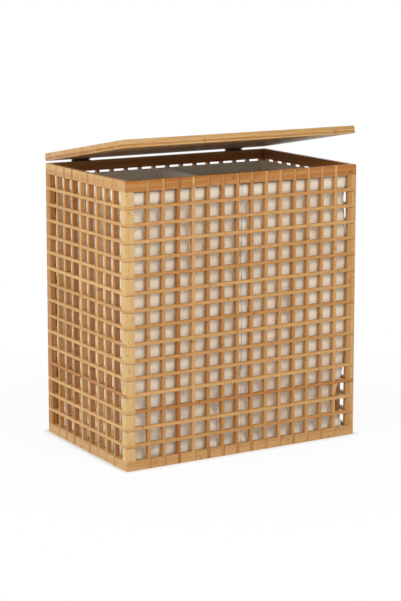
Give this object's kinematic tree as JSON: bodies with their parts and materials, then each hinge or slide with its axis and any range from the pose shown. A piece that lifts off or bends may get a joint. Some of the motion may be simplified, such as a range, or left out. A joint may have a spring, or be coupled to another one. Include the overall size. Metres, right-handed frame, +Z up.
{
  "type": "laundry hamper with two bins",
  "caption": "Lattice laundry hamper in bamboo with a hinged lid and cloth bags side by side for sorting washing.",
  "frame": {"origin": "on the floor under the middle of the object's box, which the hinge knuckles behind the back wall make 5.3 mm deeper than the body", "axes": "+Z up, front towards -Y, +X to the right as seen from the front"},
  "size_m": [0.56, 0.3652, 0.6746],
  "materials": {
    "bamboo": "satin lacquer on carbonised bamboo",
    "bamboo_slat": "satin lacquer on carbonised bamboo",
    "bamboo_lid": "satin lacquer on laminated bamboo",
    "base_board": "plain sanded thin board",
    "hinge_steel": "dark bronze paint",
    "screw_steel": "blackened",
    "canvas": "plain woven cream cloth",
    "hook_tape": "matt hook tape"
  },
  "bodies": {
    "hamper": {"front_lattice": "bamboo_slat", "front_top_rail": "bamboo", "front_bottom_rail": "bamboo", "front_left_stile": "bamboo", "front_right_stile": "bamboo", "front_hook_tape_1": "hook_tape", "front_hook_tape_2": "hook_tape", "front_hook_tape_3": "hook_tape", "front_hook_tape_4": "hook_tape", "right_lattice": "bamboo_slat", "right_top_rail": "bamboo", "right_bottom_rail": "bamboo", "right_front_stile": "bamboo", "right_back_stile": "bamboo", "right_hook_tape_1": "hook_tape", "right_hook_tape_2": "hook_tape", "back_lattice": "bamboo_slat", "back_top_rail": "bamboo", "back_bottom_rail": "bamboo", "back_right_stile": "bamboo", "back_left_stile": "bamboo", "back_hook_tape_1": "hook_tape", "back_hook_tape_2": "hook_tape", "back_hook_tape_3": "hook_tape", "back_hook_tape_4": "hook_tape", "left_lattice": "bamboo_slat", "left_top_rail": "bamboo", "left_bottom_rail": "bamboo", "left_back_stile": "bamboo", "left_front_stile": "bamboo", "left_hook_tape_1": "hook_tape", "left_hook_tape_2": "hook_tape", "base_board": "base_board", "front_cleat": "bamboo", "back_cleat": "bamboo", "left_cleat": "bamboo", "right_cleat": "bamboo", "left_hinge_frame_leaf": "hinge_steel", "left_hinge_frame_screw_1": "screw_steel", "left_hinge_frame_screw_2": "screw_steel", "left_hinge_pin": "hinge_steel", "right_hinge_frame_leaf": "hinge_steel", "right_hinge_frame_screw_1": "screw_steel", "right_hinge_frame_screw_2": "screw_steel", "right_hinge_pin": "hinge_steel", "left_bag": "canvas", "right_bag": "canvas"},
    "lid": {"lid_board": "bamboo_lid", "left_hinge_lid_leaf": "hinge_steel", "left_hinge_lid_screw_1": "screw_steel", "left_hinge_lid_screw_2": "screw_steel", "right_hinge_lid_leaf": "hinge_steel", "right_hinge_lid_screw_1": "screw_steel", "right_hinge_lid_screw_2": "screw_steel"}
  },
  "joints": [
    {"name": "lid_hinge", "type": "hinge", "parent": "hamper", "child": "lid", "pos_m": [0, 0.18015, 0.5938], "axis": [-1, 0, 0], "range_deg": [-10.5, 186]}
  ]
}
